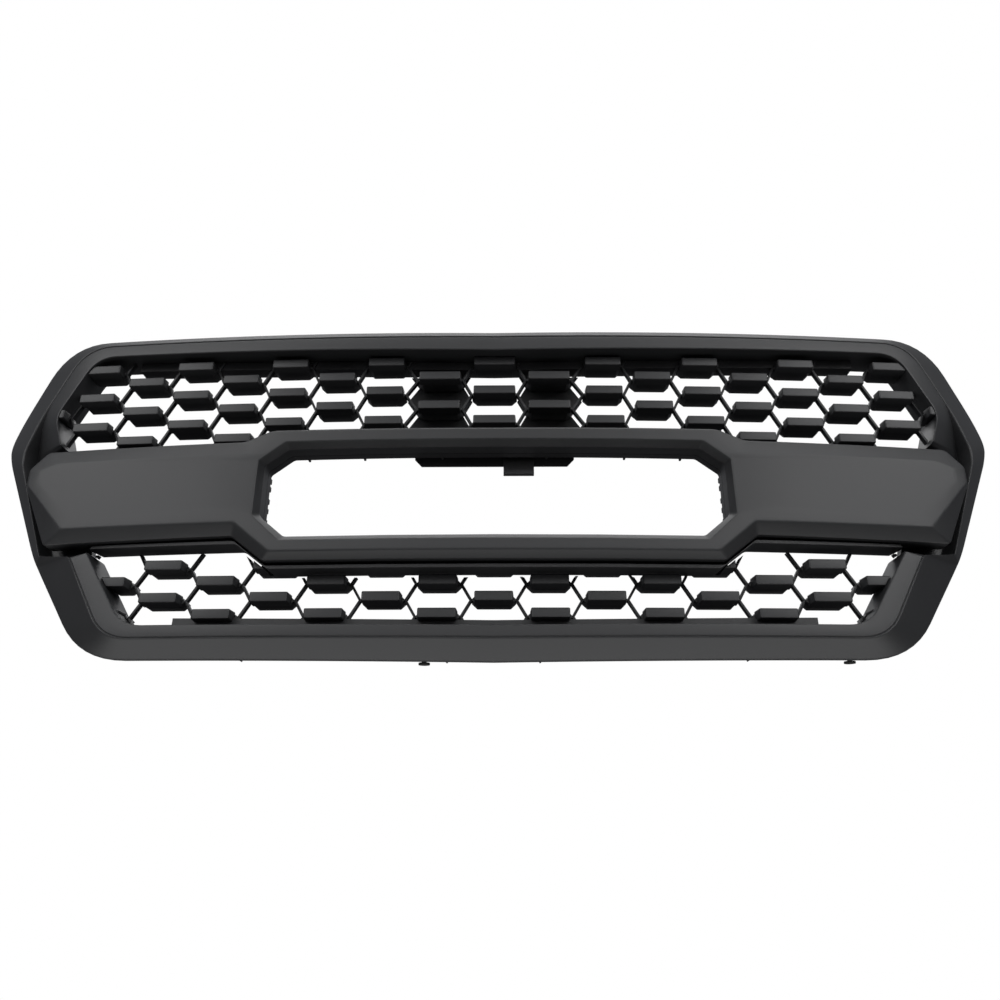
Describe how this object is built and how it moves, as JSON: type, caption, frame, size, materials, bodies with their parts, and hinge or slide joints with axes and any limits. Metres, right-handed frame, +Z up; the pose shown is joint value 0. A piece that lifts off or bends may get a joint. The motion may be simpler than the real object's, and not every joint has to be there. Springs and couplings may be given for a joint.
{
  "type": "front grille",
  "caption": "Hexagon-mesh front grille for a pickup truck, with a winged centre bar round a long octagonal opening, a wide stepped surround and rear brackets.",
  "frame": {"origin": "middle of the line between the two top bolt holes, on the top face of the top bracket", "axes": "+X along the grille to the viewer's right, +Z up, the front faces -Y"},
  "size_m": [1.1866, 0.171, 0.4171],
  "materials": {
    "moulded_black": "satin, fine spark-eroded texture",
    "structural_black": "plain moulded, slightly rougher",
    "nylon_black": "smooth nylon",
    "painted_steel": "black electrocoat",
    "spring_steel": "phosphated spring steel",
    "screw_steel": "zinc plated",
    "peg_rubber": "matte rubber",
    "pad_foam": "closed-cell foam"
  },
  "bodies": {
    "grille": {"surround_shell": "moulded_black", "centre_bar": "moulded_black", "bar_carrier": "structural_black", "opening_frame": "structural_black", "upper_mesh": "moulded_black", "lower_mesh": "moulded_black", "blank_panel_left": "structural_black", "blank_panel_right": "structural_black", "opening_bracket": "structural_black", "opening_clip": "spring_steel", "top_bracket": "painted_steel", "top_bracket_screws": "screw_steel", "side_bracket_left": "painted_steel", "side_bracket_right": "painted_steel", "side_bracket_screws": "screw_steel", "upper_mesh_screws": "screw_steel", "lower_mesh_screws": "screw_steel", "bar_screws": "screw_steel", "opening_bracket_screws": "screw_steel", "retainer_body_left": "nylon_black", "retainer_body_right": "nylon_black", "locating_peg_left": "peg_rubber", "locating_peg_right": "peg_rubber", "bracket_pads": "pad_foam"},
    "pin_left": {"retainer_pin_left": "nylon_black"},
    "pin_right": {"retainer_pin_right": "nylon_black"}
  },
  "joints": [
    {"name": "pin_left_slide", "type": "slide", "parent": "grille", "child": "pin_left", "axis": [0, 0, 1], "range_m": [0, 0.006]},
    {"name": "pin_right_slide", "type": "slide", "parent": "grille", "child": "pin_right", "axis": [0, 0, 1], "range_m": [0, 0.006]}
  ]
}
